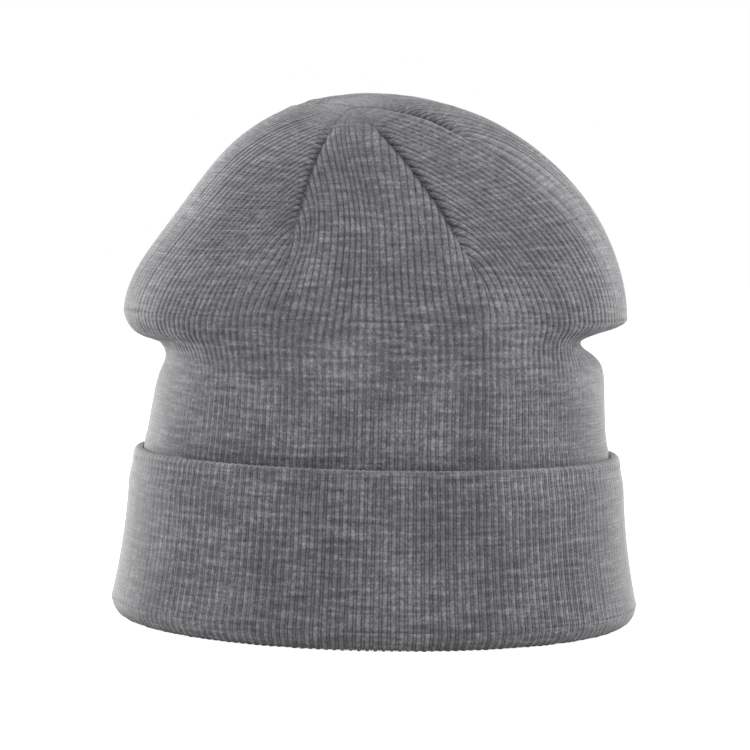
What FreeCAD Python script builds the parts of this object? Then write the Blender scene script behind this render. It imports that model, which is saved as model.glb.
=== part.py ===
"""Cuffed rib-knit beanie, doubled (self-lined), with a four-dart crown.

Millimetres, +Z up, front of the hat towards -Y.  The origin is the middle of the
footprint, on the surface that the hat stands on.

The hat is one long knitted tube, darted shut at both ends and pushed into itself,
so the fabric runs: outer crown - outer wall - inner bend of the turn-up - inner ply
of the cuff - folded cuff edge - outer ply of the cuff - outer bend of the turn-up -
lining wall - lining crown.  Each run between two folds is one solid here.
"""
import FreeCAD, Part

import os
from math import cos, exp, pi, sin, sqrt

# ---------------------------------------------------------------- fabric
ply = 1.8                    # thickness of one relaxed ply of the rib
ply_gap = 0.3                # air between plies that lie on each other
crown_gap = 2.1              # air between crown and lining crown, where the seams lie

# ---------------------------------------------------------------- wall and crown
wall_half_width = 87.6       # tube under the cuff, straight up to the cuff's edge
wall_half_depth = 84.0
waist_height = 95.0          # narrowest level above the cuff
waist_half_width = 85.2
waist_shift = 1.3            # sideways shift of the waist, +X
ear_height = 116.0           # widest level of the crown, where it slumps outwards
ear_half_width = 95.7
ear_half_depth = 74.0
crown_rise = 84.0            # from the widest level to the top
crown_roundness = 1.76       # exponent of the crown's outline
crown_hollow_ratio = 0.037   # share by which the crown's slopes are drawn in at mid height
crown_shift = -1.4           # sideways shift of the crown's widest level and of its top
crown_lean = 3.7             # further shift to +X of the slopes in between
top_flat = 2.0               # half width of the level spot at the very top

left_crease_height = 101.9   # creases under the two ears, one on each side
left_crease_depth = 5.9
right_crease_height = 107.0
right_crease_depth = 13.0
crease_spread = 5.4
crease_sharpness = 6         # how fast the creases die out towards front and back

# ---------------------------------------------------------------- cuff
cuff_height = 64.0
cuff_stand_out_x = 12.9      # how far the cuff's foot stands out from the wall
cuff_stand_out_y = 9.3
cuff_slack = 2.8             # room between wall and cuff at the cuff's edge
cuff_flare = 2.1             # exponent of the flare towards the foot
edge_height = 3.0            # height of the rounded fold along the cuff's edge
bend_height = 7.0            # height of the rounded turn-up at the foot
rest_band = 4.0              # width of the flat that the soft foot rests on
edge_crest = 0.6             # width of the level crest of the folded edge

# ---------------------------------------------------------------- darts and tack
groove_width = 3.0           # the crease that a dart draws into the face of the knit
groove_depth = 1.0
seam_width = 3.6             # overlocked allowance, lying between crown and lining
seam_shift = 2.1             # allowances of crown and lining fold to opposite sides
seam_end = 12.0              # distance of a seam's upper end from the pole
tack_radius = 2.2            # thread bar that ties the lining crown to the crown
tack_clearance = 0.2
seam_clearance = 0.5         # between a seam and the crown on either side

# Plan of the crown, as fractions of its half width and half depth: the pole where the
# four darts meet, and each dart's lower end with the point that its curve is pulled
# towards on the way to the pole.
pole_x_ratio = -0.108
pole_y_ratio = -0.348
step_ratio = 0.01            # small step in the plan or along a dart, to find a direction
darts = {
    "front_left": ((-0.37, -0.85), (-0.37, -0.75)),
    "front_right": ((0.37, -0.89), (0.12, -0.87)),
    "back_right": ((0.34, -0.487), (0.16, -0.40)),
    "back_left": ((-0.50, 0.66), (-0.46, 0.05)),
}

RING_POLES = 24              # control points round one closed section
POLE_REACH = 3.0 / (2.0 + cos(2.0 * pi / RING_POLES))   # they stand this far out of the section
WALL_RINGS = 3               # sections between the cuff's edge and the waist
EAR_RINGS = 8                # sections from the waist to the widest level
CROWN_RINGS = 10             # sections between the widest level and the top
DART_RINGS = 9               # sections along a dart
DART_STEPS = 200             # steps along a dart in which its ends are searched

# ---------------------------------------------------------------- layers, as offsets from the face
LINING_FACE = ply + ply_gap
LINING_INSIDE = LINING_FACE + ply
CROWN_LINING_FACE = ply + crown_gap
CROWN_LINING_INSIDE = CROWN_LINING_FACE + ply
SEAM_FACE = ply + seam_clearance
SEAM_BACK = CROWN_LINING_FACE - seam_clearance

POLE = (pole_x_ratio, pole_y_ratio)

cuff_edge_half_width = wall_half_width + cuff_slack + LINING_INSIDE
cuff_edge_half_depth = wall_half_depth + cuff_slack + LINING_INSIDE
cuff_foot_half_width = wall_half_width + cuff_stand_out_x
cuff_foot_half_depth = wall_half_depth + cuff_stand_out_y
ply_top = cuff_height - edge_height


def vector(x, y, z):
    return FreeCAD.Vector(x, y, z)


def ease(low, high, start, end, value):
    """Smooth change from low to high while value runs from start to end."""
    t = min(1.0, max(0.0, (value - start) / (end - start)))
    return low + (high - low) * t * t * (3.0 - 2.0 * t)


# ---------------------------------------------------------------- outlines
def wall_width_at(height):
    """Half width of the hat's face below its widest level, crease left out."""
    if height < waist_height:
        return ease(wall_half_width, waist_half_width, cuff_height, waist_height, height)
    return ease(waist_half_width, ear_half_width, waist_height, ear_height, height)


def wall_depth_at(height):
    return ease(wall_half_depth, ear_half_depth, cuff_height, ear_height, height)


def wall_shift_at(height):
    """Sideways shift of the wall, from the cuff's edge over the waist to the crown."""
    if height < waist_height:
        return ease(0.0, waist_shift, cuff_height, waist_height, height)
    return ease(waist_shift, crown_shift, waist_height, ear_height, height)


def creases_at(height):
    """Depth of the left and of the right crease."""
    return (left_crease_depth * exp(-((height - left_crease_height) / crease_spread) ** 2),
            right_crease_depth * exp(-((height - right_crease_height) / crease_spread) ** 2))


def crown_shift_at(rise):
    """Sideways shift of the crown; rise runs from 0 at the widest level to 1 at the top."""
    return crown_shift + crown_lean * sin(pi * rise) ** 2


def crown_share_at(rise):
    """Share of its full size that the crown keeps where its slopes are drawn in."""
    return 1.0 - crown_hollow_ratio * sin(pi * rise) ** 2


def flare_at(height):
    """Flare of the cuff, from 0 at its edge to 1 above the turn-up."""
    return ((cuff_height - height) / (cuff_height - bend_height)) ** cuff_flare


def cuff_width_at(height):
    return cuff_edge_half_width + (cuff_foot_half_width - cuff_edge_half_width) * flare_at(height)


def cuff_depth_at(height):
    return cuff_edge_half_depth + (cuff_foot_half_depth - cuff_edge_half_depth) * flare_at(height)


# ---------------------------------------------------------------- skins
def ring(half_width, half_depth, height, centre_x=0.0, creases=(0.0, 0.0)):
    """Poles of a closed level section: an ellipse, pinched at its left and right end."""
    poles = []
    for k in range(RING_POLES):
        angle = 2.0 * pi * k / RING_POLES
        left, right = creases
        pinch = (right if cos(angle) > 0 else left) * abs(cos(angle)) ** crease_sharpness
        x = centre_x + (half_width - pinch) * cos(angle) * POLE_REACH
        poles.append(vector(x, half_depth * sin(angle) * POLE_REACH, height))
    return poles


def outline(poles):
    curve = Part.BSplineCurve()
    curve.buildFromPolesMultsKnots(poles, [1] * (RING_POLES + 1), list(range(RING_POLES + 1)), True, 3)
    return Part.Wire(curve.toShape())


def skin(rings):
    """Smooth closed band that runs from the first ring to the last and is drawn to those between."""
    spans = len(rings) - 3
    band = Part.BSplineSurface()
    band.buildFromPolesMultsKnots(
        [[row[k] for row in rings] for k in range(RING_POLES)],
        [1] * (RING_POLES + 1), [4] + [1] * (spans - 1) + [4],
        list(range(RING_POLES + 1)), list(range(spans + 1)), True, False, 3, 3)
    return band.toShape()


def drawn_through(rings):
    """The same rings with their poles moved out, so that a skin passes through the rings."""
    poles = [list(row) for row in rings]
    for j in range(2, len(rings) - 2):
        for k in range(RING_POLES):
            bend = rings[j - 1][k] - rings[j][k] * 2 + rings[j + 1][k]
            poles[j][k] = rings[j][k] - bend * (1.0 / 6.0)
    return poles


def flat(outer, inner=None):
    """Level face inside the ring outer, with the ring inner left open."""
    wires = [outline(outer)] + ([outline(inner)] if inner else [])
    return Part.Face(wires)


def closed(faces):
    """Solid bounded by faces that meet edge to edge."""
    shell = Part.Shell(faces)
    shell.sewShape()
    solid = Part.Solid(shell.Shells[0])
    solid.fix(0.01, 0.01, 0.01)
    return solid if solid.Volume > 0 else solid.reversed()


def tube(outer, inner):
    """Solid between two stacks of rings that start level and end level."""
    return closed([skin(outer), skin(inner), flat(outer[0], inner[0]), flat(outer[-1], inner[-1])])


def quarter_round(start, end):
    """Rings of a quarter round from start to end, each (half width, half depth, height).

    It leaves start upright and reaches end level.
    """
    pull_ratio = 0.5523
    corner = (start[0], start[1], end[2])
    near_start = [a + (b - a) * pull_ratio for a, b in zip(start, corner)]
    near_end = [a + (b - a) * pull_ratio for a, b in zip(end, corner)]
    return [ring(*station) for station in (start, near_start, near_end, end)]


# ---------------------------------------------------------------- layers of the hat and the cuff
def hat_rings(offset_low, offset_high):
    """Rings of one layer of the hat, from the turn-up to the top of the crown.

    offset_low is the layer's depth under the face beside the cuff, offset_high its
    depth under the face in the crown.
    """
    heights = [bend_height, cuff_height / 2, ply_top, cuff_height]
    heights += [cuff_height + (waist_height - cuff_height) * k / (WALL_RINGS + 1)
                for k in range(1, WALL_RINGS + 1)]
    heights += [waist_height + (ear_height - waist_height) * k / EAR_RINGS for k in range(EAR_RINGS + 1)]
    rings = []
    for height in heights:
        depth = ease(offset_low, offset_high, cuff_height, ear_height, height)
        rings.append(ring(wall_width_at(height) - depth, wall_depth_at(height) - depth,
                          height, wall_shift_at(height), creases_at(height)))
    for k in range(1, CROWN_RINGS + 1):
        rise = sin(pi / 2 * k / CROWN_RINGS)
        inset = max(top_flat / ear_half_width, sqrt(1.0 - rise ** crown_roundness)) * crown_share_at(rise)
        rings.append(ring((ear_half_width - offset_high) * inset,
                          (ear_half_depth - offset_high) * inset,
                          ear_height + (crown_rise - offset_high) * rise, crown_shift_at(rise)))
    return drawn_through(rings)


def hat_layer(face_low, face_high, back_low, back_high):
    """Ply of the hat between two layers, open at the turn-up and closed over the crown."""
    face = hat_rings(face_low, face_high)
    back = hat_rings(back_low, back_high)
    return closed([skin(face), skin(back), flat(face[0], back[0]), flat(face[-1]), flat(back[-1])])


def cuff_rings(offset):
    """Rings of one layer of the cuff, from the turn-up to the fold of its edge."""
    rings = []
    for k in range(5):
        height = bend_height + (ply_top - bend_height) * k / 4
        rings.append(ring(cuff_width_at(height) - offset, cuff_depth_at(height) - offset, height))
    return rings


def cuff_ply(offset):
    return tube(cuff_rings(offset), cuff_rings(offset + ply))


# ---------------------------------------------------------------- folds
def turn_up_layer(offset):
    """Rings of one layer of the rounded turn-up: its outer quarter, then its inner quarter."""
    width = cuff_width_at(bend_height)
    depth = cuff_depth_at(bend_height)
    inner_width = wall_half_width - LINING_INSIDE
    inner_depth = wall_half_depth - LINING_INSIDE
    corner_x = (width - inner_width - rest_band) / 2
    corner_y = (depth - inner_depth - rest_band) / 2
    outer = quarter_round((width - offset, depth - offset, bend_height),
                          (width - corner_x, depth - corner_y, offset))
    inner = quarter_round((inner_width + offset, inner_depth + offset, bend_height),
                          (inner_width + corner_x, inner_depth + corner_y, offset))
    return outer, inner


def turn_up_bend(offset):
    """One ply of the turn-up, from the cuff's side round the foot to the wall's side."""
    out_face, in_face = turn_up_layer(offset)
    out_back, in_back = turn_up_layer(offset + ply)
    return closed([skin(out_face), skin(in_face), flat(out_face[-1], in_face[-1]),
                   skin(out_back), skin(in_back), flat(out_back[-1], in_back[-1]),
                   flat(out_face[0], out_back[0]), flat(in_back[0], in_face[0])])


def folded_edge():
    """Rounded fold along the cuff's edge, where its two plies are one."""
    width = cuff_width_at(ply_top)
    depth = cuff_depth_at(ply_top)
    half = (LINING_INSIDE - edge_crest) / 2
    outer = quarter_round((width, depth, ply_top), (width - half, depth - half, cuff_height))
    inner = quarter_round((width - LINING_INSIDE, depth - LINING_INSIDE, ply_top),
                          (width - LINING_INSIDE + half, depth - LINING_INSIDE + half, cuff_height))
    return tube(outer, inner)


# ---------------------------------------------------------------- darts
def crown_point(plan_x, plan_y, offset):
    """Point of the crown under a place in its plan, given as fractions of its half sizes."""
    rise = max(0.0, 1.0 - plan_x ** 2 - plan_y ** 2) ** (1.0 / crown_roundness)
    share = crown_share_at(rise)
    return vector((ear_half_width - offset) * plan_x * share + crown_shift_at(rise),
                  (ear_half_depth - offset) * plan_y * share,
                  ear_height + (crown_rise - offset) * rise)


def crown_normal(plan_x, plan_y):
    here = crown_point(plan_x, plan_y, 0.0)
    across = crown_point(plan_x + step_ratio, plan_y, 0.0) - here
    along = crown_point(plan_x, plan_y + step_ratio, 0.0) - here
    return across.cross(along).normalize()


def dart_plan(dart, t):
    """Place in the plan: t is 0 at the dart's lower end and 1 at the pole."""
    start, pull = darts[dart]
    return tuple((1 - t) ** 2 * start[i] + 2 * t * (1 - t) * pull[i] + t * t * POLE[i] for i in (0, 1))


def dart_section(dart, t, profile):
    """Closed section square to a dart; the profile holds (sideways, depth under the face) pairs."""
    plan_x, plan_y = dart_plan(dart, t)
    middle = crown_point(plan_x, plan_y, 0.0)
    along = (crown_point(*dart_plan(dart, t + step_ratio), 0.0) - middle).normalize()
    side = crown_normal(plan_x, plan_y).cross(along).normalize()
    corners = []
    for sideways, depth in profile:
        place = (plan_x + side.x * sideways / ear_half_width, plan_y + side.y * sideways / ear_half_depth)
        corner = crown_point(*place, depth)
        corners.append(corner - along * (corner - middle).dot(along))
    return Part.makePolygon(corners + corners[:1])


def dart_sweep(dart, end, profile):
    sections = [dart_section(dart, end * k / (DART_RINGS - 1), profile) for k in range(DART_RINGS)]
    return Part.makeLoft(sections, True, False)


def dart_end(dart, distance):
    """Where along a dart the pole is still the given distance away."""
    goal = crown_point(*POLE, 0.0)
    places = [k / DART_STEPS for k in range(DART_STEPS, 0, -1)]
    return next(t for t in places if (crown_point(*dart_plan(dart, t), 0.0) - goal).Length >= distance)


def groove(dart):
    """V-shaped cutter of the crease that a dart draws into the face."""
    half = groove_width / 2
    end = dart_end(dart, tack_radius + tack_clearance + groove_width)
    return dart_sweep(dart, end, [(0.0, groove_depth), (half, -groove_depth), (-half, -groove_depth)])


def seam(dart, shift):
    """Flat overlocked allowance beside a dart, between the crown and the lining crown."""
    low = shift - seam_width / 2
    high = shift + seam_width / 2
    profile = [(low, SEAM_FACE), (high, SEAM_FACE), (high, SEAM_BACK), (low, SEAM_BACK)]
    return dart_sweep(dart, dart_end(dart, seam_end), profile)


def tack(radius, overshoot):
    """Bar of thread through both crowns at the pole."""
    point = crown_point(*POLE, 0.0)
    normal = crown_normal(*POLE)
    length = 2 * ply + crown_gap + 2 * overshoot
    base = point - normal * (length - overshoot)
    return Part.makeCylinder(radius, length, base, normal)


# ---------------------------------------------------------------- assembly
def build():
    tack_hole = tack(tack_radius + tack_clearance, ply)
    grooves = [groove(dart) for dart in darts]
    lining = hat_layer(LINING_FACE, CROWN_LINING_FACE, LINING_INSIDE, CROWN_LINING_INSIDE)
    nodes = {
        "outer_knit": hat_layer(0.0, 0.0, ply, ply).cut(grooves + [tack_hole]),
        "lining_knit": lining.cut([tack_hole]),
        "cuff_outer_ply": cuff_ply(0.0),
        "cuff_inner_ply": cuff_ply(LINING_FACE),
        "cuff_folded_edge": folded_edge(),
        "turn_up_outer_bend": turn_up_bend(0.0),
        "turn_up_inner_bend": turn_up_bend(LINING_FACE),
        "crown_tack": tack(tack_radius, 0.0),
    }
    for dart in darts:
        nodes["dart_seam_" + dart] = seam(dart, seam_shift)
        nodes["lining_dart_seam_" + dart] = seam(dart, -seam_shift)
    return nodes


os.makedirs("parts", exist_ok=True)
for node, shape in build().items():
    shape.exportStep("parts/" + node + ".step")
    print(node, shape.isValid(), len(shape.Solids), round(shape.Volume, 1), shape.BoundBox)
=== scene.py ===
"""Cuffed rib-knit beanie in heather grey, doubled, with a four-dart crown.

Metres, +Z up, front of the hat towards -Y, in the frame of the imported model.

The knit is modelled rib by rib: every ply is a thin solid whose face is a grid with
columns along the ribs and rows along the courses.  A grid point has two knit
coordinates, the rib number and the course number, which the yarn's material follows.
"""
from math import pi, radians

import bpy
import mathutils.kdtree
import numpy as np
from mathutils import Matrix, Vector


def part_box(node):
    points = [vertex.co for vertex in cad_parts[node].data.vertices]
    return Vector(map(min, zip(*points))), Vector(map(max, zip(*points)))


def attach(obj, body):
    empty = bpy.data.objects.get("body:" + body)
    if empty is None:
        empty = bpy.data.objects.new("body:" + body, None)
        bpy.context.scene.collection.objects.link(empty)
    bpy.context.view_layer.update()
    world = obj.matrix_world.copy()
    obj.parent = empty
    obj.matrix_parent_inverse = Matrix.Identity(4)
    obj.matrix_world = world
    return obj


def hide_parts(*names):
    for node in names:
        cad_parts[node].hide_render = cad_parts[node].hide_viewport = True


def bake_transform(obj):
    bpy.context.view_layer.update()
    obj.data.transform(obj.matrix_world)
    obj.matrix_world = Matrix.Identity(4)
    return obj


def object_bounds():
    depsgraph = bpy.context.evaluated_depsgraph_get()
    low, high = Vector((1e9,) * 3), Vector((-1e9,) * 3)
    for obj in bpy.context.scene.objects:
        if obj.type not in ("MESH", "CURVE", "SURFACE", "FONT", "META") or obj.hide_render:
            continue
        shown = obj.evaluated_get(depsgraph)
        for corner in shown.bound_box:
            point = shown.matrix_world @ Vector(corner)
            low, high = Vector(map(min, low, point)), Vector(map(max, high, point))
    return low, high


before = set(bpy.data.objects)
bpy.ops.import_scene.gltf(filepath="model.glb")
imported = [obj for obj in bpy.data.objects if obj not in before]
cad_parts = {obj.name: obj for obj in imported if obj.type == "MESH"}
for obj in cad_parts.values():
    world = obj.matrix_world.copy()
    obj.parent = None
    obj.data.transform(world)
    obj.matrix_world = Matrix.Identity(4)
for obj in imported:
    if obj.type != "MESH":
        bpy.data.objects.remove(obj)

MM = 0.001
CAD_LOW, CAD_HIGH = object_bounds()

# ---------------------------------------------------------------- sizes from the frame
FOOT_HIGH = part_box("turn_up_outer_bend")[1]
EDGE_LOW, EDGE_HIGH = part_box("cuff_folded_edge")

BEND_HEIGHT = FOOT_HIGH[2]
PLY_TOP = EDGE_LOW[2]
CUFF_HEIGHT = EDGE_HIGH[2]
CROWN_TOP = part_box("outer_knit")[1][2]
FOOT_HALF = np.array((FOOT_HIGH[0], FOOT_HIGH[1]))
EDGE_HALF = np.array((EDGE_HIGH[0], EDGE_HIGH[1]))

# ---------------------------------------------------------------- fabric
PLY = 1.8 * MM                   # thickness of one ply
FOLD_PLY = 1.2 * MM              # the same over the cuff's folded edge
PLY_GAP = 0.3 * MM               # between plies that lie against each other
CROWN_GAP = 2.1 * MM             # between the crown and its lining
LINING_FACE = PLY + PLY_GAP      # depth of a second ply's side that lies against the first
LINING_INSIDE = LINING_FACE + PLY    # and of its other side, which has the ribs
CROWN_LINING_INSIDE = 2 * PLY + CROWN_GAP
COURSE = 1.3 * MM                # height of one course
RIB_WIDTH = 2.6 * MM
RIB_RELIEF = 1.0 * MM            # from the valley to the crest of a relaxed rib
STRETCHED_RELIEF = 0.8 * MM      # the same where the rib is stretched
STRETCH_LOW = 85.0 * MM          # the rib is stretched below this height
STRETCH_HIGH = 130.0 * MM        # and relaxed above this one
KNIT_HALF = (0.5, 0.3)           # half width of a knit wale, relaxed and stretched, of a rib's
PURL_HALF = 0.19                 # half width of the purl wale that a stretched rib shows
PURL_HEIGHT = 0.62               # and its height, of the relief
RIB_UNEVENNESS = 0.12            # how much the ribs differ in height, of the relief
RIB_SEED = 7
MIDDLE_DEPTH = 0.8               # where the ply's middle depth lies, of the relief

# ---------------------------------------------------------------- wall and crown
WALL_HALF = np.array((87.6, 84.0)) * MM
WAIST_HEIGHT = 95.0 * MM
WAIST_HALF_WIDTH = 85.2 * MM
WAIST_SHIFT = 1.3 * MM
EAR_HEIGHT = 116.0 * MM
EAR_HALF = np.array((95.7, 74.0)) * MM
CROWN_RISE = CROWN_TOP - EAR_HEIGHT
CROWN_ROUNDNESS = 1.76
CROWN_HOLLOW = 0.037             # share by which the crown's slopes are drawn in at mid height
CROWN_SHIFT = -1.4 * MM
CROWN_LEAN = 3.7 * MM
# Creases under the ears: height, depth, spread below, spread above, and the height under
# the ear over which they end.
LEFT_CREASE = np.array((105.2, 7.1, 9.6, 1.9, 5.4)) * MM
RIGHT_CREASE = np.array((109.1, 17.8, 7.3, 7.3, 7.8)) * MM
CREASE_SHARPNESS = 6
LUMP_HEIGHT = 0.6 * MM
LUMP_SIZE = 55.0 * MM
LUMP_SEED = 3

# ---------------------------------------------------------------- cuff
CUFF_FLARE = 2.1
REST_BAND = 4.0 * MM             # flat that the foot rests on
EDGE_CREST = 0.6 * MM            # level crest of the folded edge
EDGE_INNER_ROUND = 0.7 * MM      # rounding of the fold towards the wall
EDGE_DRAWN = 1.3 * MM            # how far the cuff bends in towards its folded edge
EDGE_DRAWN_OVER = 10.0 * MM      # height over which it does
EDGE_SWELL = np.array((0.0, 1.2)) * MM     # how much fuller than its plies the fold is, inwards
# How far the wall bends in at the fold: at the sides, where it bends out, and in front.
WALL_DRAWN = np.array((-1.1, 1.1)) * MM
WALL_DRAWN_OVER = 5.0 * MM
FOLD_WEAR = 0.5                  # share by which the ribs are lower on the fold's crest
TURN_UP_COURSE = -20.0           # course at which the foot's knit starts

# ---------------------------------------------------------------- darts and gores
# Places in the crown's plan are fractions of its half width and half depth.  Each dart
# has its lower end, the point that its curve is pulled towards on the way to the pole,
# and the angle round the hat at which its lowest rib leaves the wall.
POLE = np.array((-0.108, -0.348))
DARTS = {
    "front_left": ((-0.37, -0.85), (-0.37, -0.75), -116.4),
    "front_right": ((0.37, -0.89), (0.12, -0.87), -64.4),
    "back_right": ((0.34, -0.487), (0.16, -0.40), -21.4),
    "back_left": ((-0.50, 0.66), (-0.46, 0.05), 124.0),
}

# Each gore lies between two darts and has so many ribs that end on the first and so many
# that end on the last; the rib between them ends at the pole.  A rib leaves the wall,
# tilted sideways by "tilt" at most, and arrives at its dart at an angle that depends on
# its share of the way from the pole rib (0) to the first dart (-1) or to the last (1).
# "spread" shapes how densely the ribs end along each dart.
GORES = (
    dict(name="left", darts=("back_left", "front_left"), ribs=(37, 27), tilt=15.3,
         arrive=(-25, -6, 9, 18, 28), reach=(0.317, 0.339), spread=(1.13, 0.998)),
    dict(name="front", darts=("front_left", "front_right"), ribs=(14, 16), tilt=-8.0,
         arrive=(116, 92, 79, 89, 97), reach=(0.358, 0.347), spread=(1.13, 1.07)),
    dict(name="right", darts=("front_right", "back_right"), ribs=(22, 2), tilt=0.6,
         arrive=(167, 149, 142, 143, 151), reach=(0.303, 0.348), spread=(1.05, 0.719)),
    dict(name="back", darts=("back_right", "back_left"), ribs=(24, 58), tilt=-4.7,
         arrive=(219, 214, 223, 200, 148), reach=(0.460, 0.287), spread=(1.24, 0.884)),
)
EDGE_REACH = np.array((0.33, 0.33))                      # reach of the ribs along a gore's edges
FAN_LOW = 84.0 * MM              # above this height the ribs draw together towards the gores
TILT_REACH = 65.0 * MM           # height over which a rib at 45 degrees turns one radian round
ARRIVE_SHARES = (-0.85, -0.45, 0.0, 0.45, 0.85)
ALL_RIBS = sum(sum(gore["ribs"]) for gore in GORES)
FRONT_RIBS = GORES[1]["ribs"]
FRONT_RIB = (FRONT_RIBS[1] - FRONT_RIBS[0]) / 2          # middle of the front gore
FIRST_RIB = -sum(GORES[0]["ribs"]) - FRONT_RIBS[0]       # so the front gore's pole rib is rib 0

# Columns of a ply's grid over one rib: 0 is the crest of the rib, -0.5 the valley before it.
FINE = (-0.5, -0.40, -0.30, -0.22, -0.11, 0.0, 0.11, 0.22, 0.30, 0.40)
MEDIUM = (-0.5, -0.41, -0.30, -0.16, 0.0, 0.16, 0.30, 0.41)
COARSE = (-0.5, -0.30, -0.10, 0.10, 0.30)

# Grids: rows of the wall below and above its waist, of a gore, its lining, the cuff's plies,
# each half of its fold and of the foot.
WALL_ROWS = (28, 27)
GORE_ROWS = 64
LINING_GORE_ROWS = 40
CUFF_ROWS = 29
INNER_CUFF_ROWS = 15
FOLD_ROWS = (7, 6)
FOOT_ROWS = 8
UNDER_ROW_STEP = 6               # the underside has every so many of a gore's or a cuff ply's rows
CURVE_POINTS = 300               # along a dart and along a gore's foot
RIB_POINTS = 160                 # along a rib of the crown, before they are spaced evenly
TURN_POINTS = 3001               # round the wall, to space the ribs evenly

# ---------------------------------------------------------------- grooves and wear
GROOVE_DEPTH = 1.9 * MM          # groove that a dart draws into the face
GROOVE_SPREAD = 1.4 * MM
SWELL_HEIGHT = 0.35 * MM         # swell of the fabric beside the groove
SWELL_AWAY = 2.6 * GROOVE_SPREAD
SWELL_SPREAD = 1.6 * GROOVE_SPREAD
GROOVE_START = 0.3               # how deep a groove is at a dart's lower end, of its full depth
GROOVE_FULL = 0.25               # share of the way to the pole at which it is full
DART_SHADE_SPREAD = 3.8 * MM         # beside a dart the ribs are drawn together, with painted shade deeper in their valleys
# Ribs closer together than the first have merged, and from the second on they are whole.
WORN_PITCH = (0.5 * MM, 1.3 * MM)
WORN_POLE = (8.0 * MM, 22.0 * MM)    # the same for distances from the pole
SIDE_WEAR = (0.75, 0.45)         # share by which the ribs are lower at the left and the right side

# ---------------------------------------------------------------- looks of the knit
# Painted shade across half a rib, from its crest (0) to its valley (1), for the shade in its
# valleys.
RELAXED_PAINTED_SHADE = ((0.45, 1.0), (0.80, 0.80), (1.0, 0.50))
STRETCHED_PAINTED_SHADE = ((0.38, 1.0), (0.62, 0.50), (0.84, 0.80), (1.0, 0.86))
MEAN_PAINTED_SHADE = 0.82                # mean painted shade of a rib and its valley
DART_PAINTED_SHADE = ((0.80, 1.0), (1.0, 0.45))    # painted shade by the nearness of a dart, in its groove

# Ribs blur, and lose their painted valley shade, where the knit turns away from the viewer.
# Of four values, the last two are the results at the first two.
BLUR = ((0.10, 0.0), (0.50, 0.75), (1.0, 0.92))
BLUR_ACROSS = (-40.0 * MM, 40.0 * MM, 1.35, 1.0)     # stronger towards the left side
BLUR_TOP = (0.5, 0.9, 1.0, 0.1)              # less where the hat's shape looks up
BLUR_UPTURNED = (0.15, 0.5, 1.0, 0.0)        # none where the face looks up more than that shape
SHAPE_LEVEL = (1.0, 1.5, 0.0)    # normal of the hat's overall shape: shares of x and y
SHAPE_LIFT = 1.3                 # and of the height over the ears

FUZZ_AND_SHEEN = ((0.30, 0.0), (0.70, 0.42), (1.0, 1.0))       # loose fibres and a painted sheen, by how the knit turns away
FUZZ_AND_SHEEN_GREY = (176, 175, 174)      # display grey of the fibres and the painted sheen
FUZZ_AND_SHEEN_HEIGHTS = (90.0 * MM, 130.0 * MM)
FUZZ_AND_SHEEN_COVER = (0.8, 0.2)          # how far they hide the ribs below and above these heights; less sheen is painted on the crown

# Noises of the yarn: scale across and along a rib in 1/mm, layer, scale, detail, roughness,
# and share in the tone.
HEATHER = {
    "streak": (0.07, 0.6, 0.0, 1.0, 2.0, 0.5, 0.30),
    "yarn": (0.45, 0.30, 5.0, 1.0, 2.0, 0.5, 0.16),
    "fibre": (1.0, 0.8, 9.0, 1.5, 3.0, 0.65, 0.42),
    "column": (0.9 * MM / RIB_WIDTH, 0.02, 2.0, 1.0, 1.0, 0.5, 0.06),
}
CLOUD_SCALE = 40.0
CLOUD_SHARE = 0.14
TONE_STOPS = (0.40, 0.54, 0.68)  # tones of the dark, middle and light yarn
FACE_TONES = ((76, 76, 80), (112, 112, 116), (160, 160, 163))        # their display levels
# The lining is the face's yarn, a little darker, as painted shade inside the hat.
SHADED_LINING_TONES = ((72, 72, 76), (106, 106, 110), (152, 152, 155))
STITCH_SLANT = 1.1
STITCH_BUMP = 0.6
FIBRE_BUMP = 0.8
KNIT_BUMP = (0.2 * MM, 0.5)      # distance and strength
KNIT_SURFACE = {"Roughness": 0.95, "Specular IOR Level": 0.1, "Sheen Weight": 0.4,
                "Sheen Roughness": 0.5}

THREAD_WAVE = (260.0, 2.0, 1.0)  # scale, distortion and detail of the thread's turns
THREAD_TONES = ((0.25, (80, 80, 83)), (0.75, (120, 119, 122)))
THREAD_BUMP = 0.3 * MM
THREAD_SURFACE = {"Roughness": 0.85}

# ---------------------------------------------------------------- camera and light
CAMERA_LENS = 142.0
CAMERA_DISTANCE = 1.13
CAMERA_HEIGHT = 0.165
CAMERA_AIM = 0.0925              # height that the camera looks at
CAMERA_X = -0.0013
CAMERA_ROLL = 0.0209             # radians; the hat's right side comes out lower
LAMP_AIM = 0.1                   # height that the lamps face
LAMPS = (                        # azimuth, elevation, distance, size and power
    ("left_rim_box", -117, 6, 1.3, 0.9, 28.0),
    ("right_rim_box", 113, 7, 1.3, 0.9, 20.0),
    ("front_fill", 6, 40, 1.6, 1.2, 11.0),
    ("top_light", -4, 70, 1.3, 1.0, 5.6),
)
WORLD_LIGHT = 0.32
FLOOR_REACH = 4.0
FLOOR_GREY = (225, 225, 225)
FLOOR_SURFACE = {"Roughness": 1.0, "Specular IOR Level": 0.0}
FLOOR_GLOW = 0.8                 # seen from the camera only, so the floor reads white


def ease(low, high, start, end, value):
    """Smooth change from low to high while value runs from start to end."""
    t = np.clip((value - start) / (end - start), 0.0, 1.0)
    return low + (high - low) * t * t * (3.0 - 2.0 * t)


def unit(vectors):
    return vectors / np.linalg.norm(vectors, axis=-1, keepdims=True)


def add_object(name, data):
    made = bpy.data.objects.new(name, data)
    bpy.context.scene.collection.objects.link(made)
    return made


# ---------------------------------------------------------------- the hat's face
def wall_shift(height):
    """How far the wall's middle lies to the right of the foot's."""
    return np.where(height < WAIST_HEIGHT,
                    ease(0.0, WAIST_SHIFT, CUFF_HEIGHT, WAIST_HEIGHT, height),
                    ease(WAIST_SHIFT, CROWN_SHIFT, WAIST_HEIGHT, EAR_HEIGHT, height))


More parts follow.
